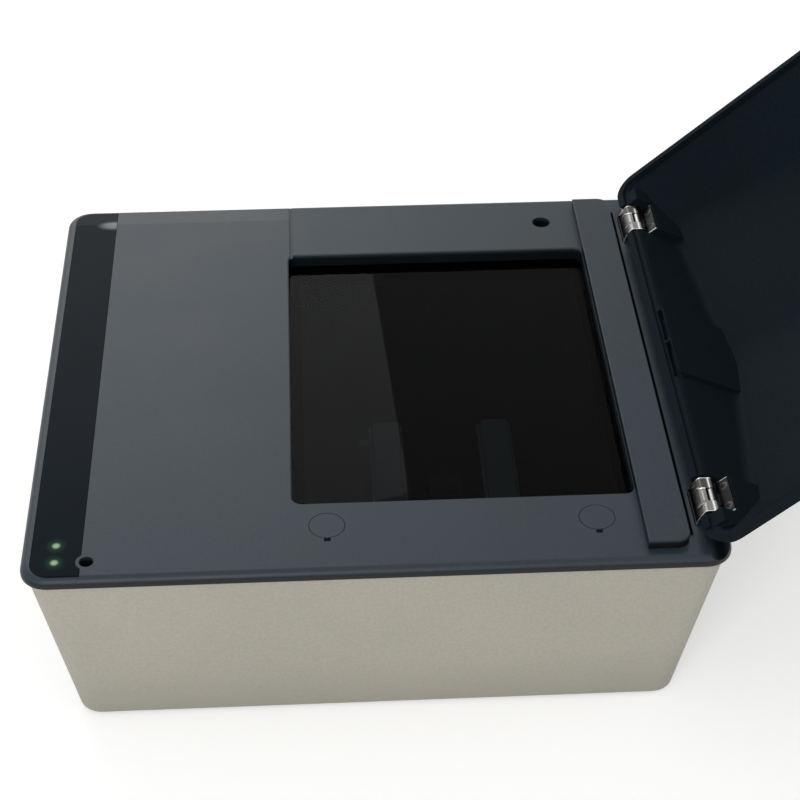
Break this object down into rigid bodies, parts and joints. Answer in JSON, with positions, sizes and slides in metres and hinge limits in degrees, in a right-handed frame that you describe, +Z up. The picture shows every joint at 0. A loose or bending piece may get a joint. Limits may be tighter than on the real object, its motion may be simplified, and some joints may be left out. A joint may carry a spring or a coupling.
{
  "type": "passport reader",
  "caption": "Desktop document reader: drafted housing, dark deck with a sunken page glass, smoked strip, stop bar and a low hinged hood that folds over from the right.",
  "frame": {"origin": "middle of the footprint, on the plane the feet stand on", "axes": "+Z up, +Y to the back, +X to the side with the hinges"},
  "size_m": [0.3656, 0.195, 0.2131],
  "materials": {
    "housing_grey": "matte, fine speckle",
    "deck_dark": "satin",
    "smoked_window": "gloss",
    "hood_dark": "satin",
    "page_glass": "polished, dark",
    "lens_glass": "coated",
    "bright_steel": "bright",
    "screw_steel": "zinc plated",
    "foot_rubber": "matte",
    "optics_black": "deep matte",
    "lens_black": "black anodised",
    "board_green": "solder mask",
    "board_white": "white solder mask",
    "lamp_green": "milky",
    "lamp_white": "phosphor",
    "milky_cover": "milky",
    "chip_black": "moulded",
    "sensor": "coated",
    "sink_alu": "anodised",
    "socket_metal": "tin plated",
    "connector_white": "nylon",
    "ribbon_white": "flat flexible"
  },
  "bodies": {
    "base": {"lower_housing": "housing_grey", "top_cover": "deck_dark", "stop_bar": "deck_dark", "screw_plugs": "deck_dark", "status_window": "smoked_window", "document_glass": "page_glass", "lens_glass": "lens_glass", "hinge_deck_leaves": "bright_steel", "hinge_pins": "bright_steel", "hinge_deck_screws": "screw_steel", "cover_screws": "screw_steel", "stop_bar_screws": "screw_steel", "status_board_screws": "screw_steel", "antenna_screws": "screw_steel", "light_box_screws": "screw_steel", "camera_screws": "screw_steel", "board_screws": "screw_steel", "rubber_feet": "foot_rubber", "glass_gasket": "foot_rubber", "light_seal": "foot_rubber", "light_box": "optics_black", "camera_holder": "optics_black", "camera_lens": "lens_black", "main_board": "board_green", "camera_board": "board_green", "status_board": "board_green", "antenna_board": "board_green", "light_boards": "board_white", "status_leds": "lamp_green", "light_leds": "lamp_white", "diffusers": "milky_cover", "processor": "chip_black", "buzzer": "chip_black", "power_jack": "chip_black", "image_chip": "sensor", "heat_sink": "sink_alu", "usb_socket": "socket_metal", "board_connectors": "connector_white", "camera_ribbon": "ribbon_white", "light_ribbon": "ribbon_white", "status_ribbon": "ribbon_white"},
    "lid": {"lid_hood": "hood_dark", "hinge_lid_leaves": "bright_steel", "hinge_lid_screws": "screw_steel"}
  },
  "joints": [
    {"name": "hood_hinge", "type": "hinge", "parent": "base", "child": "lid", "pos_m": [0.1012, 0, 0.073], "axis": [0, -1, 0], "range_deg": [0, 138.2]}
  ]
}
